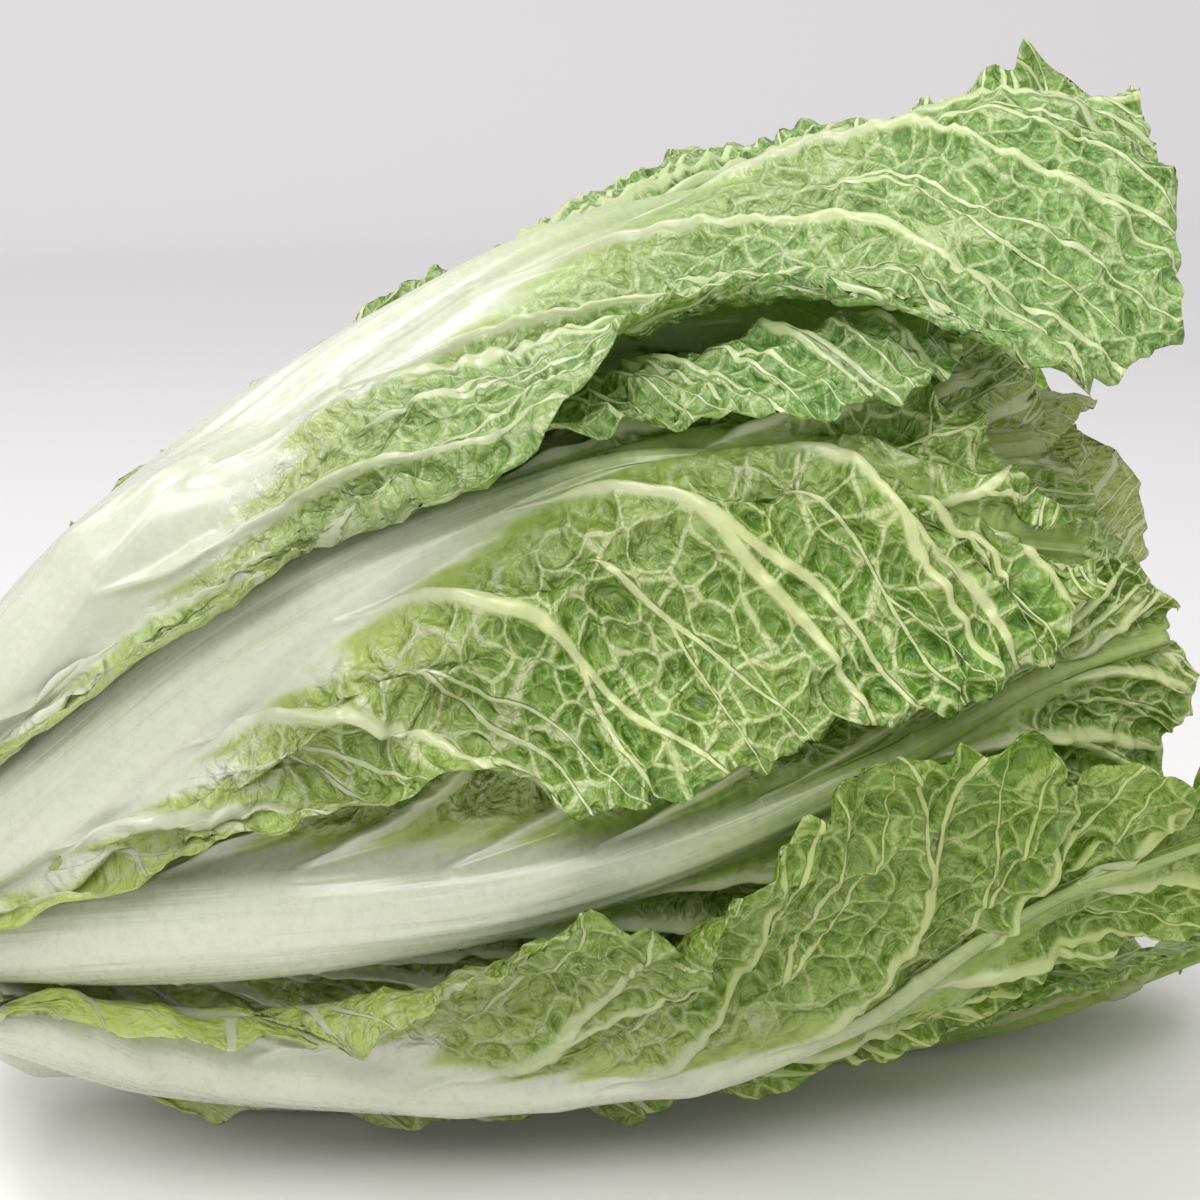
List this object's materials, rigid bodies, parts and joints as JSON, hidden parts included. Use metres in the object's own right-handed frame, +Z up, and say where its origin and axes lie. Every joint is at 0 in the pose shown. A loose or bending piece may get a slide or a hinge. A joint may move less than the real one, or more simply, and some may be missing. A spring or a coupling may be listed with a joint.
{
  "type": "napa cabbage",
  "caption": "Head of napa cabbage lying on its side, loosely wrapped, with wide white midribs, branching raised veins, ruffled green leaves turned out at the tips and a cut stem.",
  "frame": {"origin": "on the surface the head lies on, in the flat spot under the midrib of the lowest leaf, near the middle of the head's length", "axes": "+X from the cut stem towards the leaf tips, along the surface; -Y towards the side that the picture shows; +Z up. The head's own axis rises 16 degrees from +X towards +Z"},
  "size_m": [0.291, 0.2314, 0.2237],
  "materials": {
    "stem_white": "pale cream stem flesh, matt where it was cut",
    "heart_yellow": "yellow, tightly folded young leaf, satin",
    "inner_green": "pale yellow-green leaf with a white midrib, satin",
    "middle_green": "light green leaf with a white midrib, satin",
    "outer_green": "green crinkled leaf with pale raised veins and a glossy white midrib"
  },
  "bodies": {
    "root": {"cut_stem": "stem_white", "heart": "heart_yellow", "heart_leaf_1": "heart_yellow", "heart_leaf_2": "heart_yellow", "heart_leaf_3": "heart_yellow", "inner_leaf_1": "inner_green", "inner_leaf_2": "inner_green", "inner_leaf_3": "inner_green", "inner_leaf_4": "inner_green", "inner_leaf_5": "inner_green", "middle_leaf_1": "middle_green", "middle_leaf_2": "middle_green", "middle_leaf_3": "middle_green", "middle_leaf_4": "middle_green", "middle_leaf_5": "middle_green", "middle_leaf_6": "middle_green", "outer_leaf_back_low": "outer_green", "outer_leaf_back_top": "outer_green", "outer_leaf_under_back": "outer_green", "outer_leaf_back": "outer_green", "outer_leaf_under": "outer_green", "outer_leaf_right": "outer_green", "outer_leaf_centre": "outer_green", "outer_leaf_tucked": "outer_green", "outer_leaf_bottom": "outer_green", "outer_leaf_top": "outer_green"}
  },
  "joints": []
}
